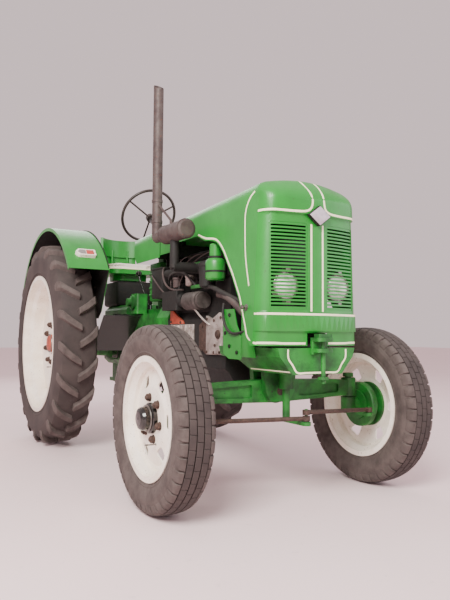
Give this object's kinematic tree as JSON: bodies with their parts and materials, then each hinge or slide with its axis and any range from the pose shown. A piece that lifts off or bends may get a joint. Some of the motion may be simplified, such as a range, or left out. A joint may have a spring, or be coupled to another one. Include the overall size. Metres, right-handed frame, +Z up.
{
  "type": "farm tractor",
  "caption": "Farm tractor with a tilting hood over a slotted nose, a steered front axle, fendered rear wheels and a tall exhaust stack",
  "frame": {"origin": "on the ground, under the centre of the box round the whole tractor", "axes": "+Z up, -Y towards the nose, -X to the driver's right"},
  "size_m": [1.5882, 3.3381, 2.4099],
  "materials": {
    "green_paint": "gloss machine enamel, a little faded",
    "cream_paint": "cream wheel enamel",
    "tyre_rubber": "dusty vulcanised rubber",
    "engine_grey": "oily grey cast iron",
    "steel": "worn bare steel",
    "exhaust": "heat-browned steel",
    "black_plastic": "black hard rubber",
    "seat_cover": "pale vinyl cover",
    "lamp_glass": "clear pressed glass",
    "black_paint": "black enamel"
  },
  "bodies": {
    "chassis": {"fender_right": "green_paint", "fender_lamp_right": "lamp_glass", "footplate_right": "green_paint", "fender_left": "green_paint", "fender_lamp_left": "lamp_glass", "footplate_left": "green_paint", "front_axle_beam": "green_paint", "front_bolster": "green_paint", "axle_pivot_pin": "steel", "tank_cowl": "green_paint", "cowl_supports": "green_paint", "radiator": "black_paint", "engine_block": "engine_grey", "gearbox": "green_paint", "rear_axle_housings": "green_paint", "seat_pan": "green_paint", "seat_cushion": "seat_cover", "seat_backrest": "green_paint", "steering_column": "green_paint", "muffler": "exhaust", "exhaust_stack": "exhaust", "rear_drawbar": "green_paint", "front_hitch_jaw": "green_paint", "hitch_pin": "steel", "exhaust_manifold": "exhaust", "gear_levers": "black_paint", "generator": "black_paint", "injection_pump": "engine_grey", "oil_filter": "green_paint", "pedals": "green_paint", "side_plates": "green_paint", "steering_gear": "green_paint"},
    "hood": {"hood": "green_paint", "grille": "green_paint", "headlamp_right": "lamp_glass", "headlamp_left": "lamp_glass"},
    "steering_arm": {"centre_steering_arm": "green_paint"},
    "steering_wheel": {"steering_wheel": "black_plastic"},
    "knuckle_right": {"knuckle_right": "green_paint"},
    "tie_rod_right": {"tie_rod_right": "green_paint"},
    "front_wheel_right": {"front_tyre_right": "tyre_rubber", "front_wheel_right": "cream_paint", "front_hub_right": "green_paint"},
    "rear_wheel_right": {"rear_tyre_right": "tyre_rubber", "rear_wheel_right": "cream_paint", "rear_hub_right": "green_paint"},
    "knuckle_left": {"knuckle_left": "green_paint"},
    "tie_rod_left": {"tie_rod_left": "green_paint"},
    "front_wheel_left": {"front_tyre_left": "tyre_rubber", "front_wheel_left": "cream_paint", "front_hub_left": "green_paint"},
    "rear_wheel_left": {"rear_tyre_left": "tyre_rubber", "rear_wheel_left": "cream_paint", "rear_hub_left": "green_paint"}
  },
  "joints": [
    {"name": "hood_hinge", "type": "hinge", "parent": "chassis", "child": "hood", "pos_m": [0, -0.207, 1.55728], "axis": [-1, 0, 0], "range_deg": [0, 50]},
    {"name": "steering", "type": "hinge", "parent": "chassis", "child": "steering_arm", "pos_m": [0, -1.339, 0.45], "axis": [0, 0, 1], "range_deg": [-32, 32]},
    {"name": "steering_wheel_turn", "type": "hinge", "parent": "chassis", "child": "steering_wheel", "pos_m": [0, 0.501, 1.761], "axis": [0, 0.829, 0.5592], "range_deg": [-352, 352]},
    {"name": "kingpin_right", "type": "hinge", "parent": "chassis", "child": "knuckle_right", "pos_m": [-0.53, -1.214, 0.5], "axis": [0, 0, 1], "range_deg": [-32, 32]},
    {"name": "tie_rod_right_pin", "type": "hinge", "parent": "steering_arm", "child": "tie_rod_right", "pos_m": [0, -1.509, 0.44], "axis": [0, 0, 1], "range_deg": [-32, 32]},
    {"name": "front_wheel_right_spin", "type": "hinge", "parent": "knuckle_right", "child": "front_wheel_right", "pos_m": [-0.665, -1.214, 0.45], "axis": [1, 0, 0], "continuous": true},
    {"name": "kingpin_left", "type": "hinge", "parent": "chassis", "child": "knuckle_left", "pos_m": [0.53, -1.214, 0.5], "axis": [0, 0, 1], "range_deg": [-32, 32]},
    {"name": "tie_rod_left_pin", "type": "hinge", "parent": "steering_arm", "child": "tie_rod_left", "pos_m": [0, -1.509, 0.44], "axis": [0, 0, 1], "range_deg": [-32, 32]},
    {"name": "front_wheel_left_spin", "type": "hinge", "parent": "knuckle_left", "child": "front_wheel_left", "pos_m": [0.665, -1.214, 0.45], "axis": [1, 0, 0], "continuous": true},
    {"name": "rear_wheel_right_spin", "type": "hinge", "parent": "chassis", "child": "rear_wheel_right", "pos_m": [-0.65, 0.894, 0.77], "axis": [1, 0, 0], "continuous": true},
    {"name": "rear_wheel_left_spin", "type": "hinge", "parent": "chassis", "child": "rear_wheel_left", "pos_m": [0.65, 0.894, 0.77], "axis": [1, 0, 0], "continuous": true}
  ],
  "couplings": [
    {"joint": "kingpin_right", "follows": "steering", "ratio": 1},
    {"joint": "kingpin_left", "follows": "steering", "ratio": 1},
    {"joint": "tie_rod_right_pin", "follows": "steering", "ratio": -1},
    {"joint": "tie_rod_left_pin", "follows": "steering", "ratio": -1},
    {"joint": "steering_wheel_turn", "follows": "steering", "ratio": 11}
  ]
}
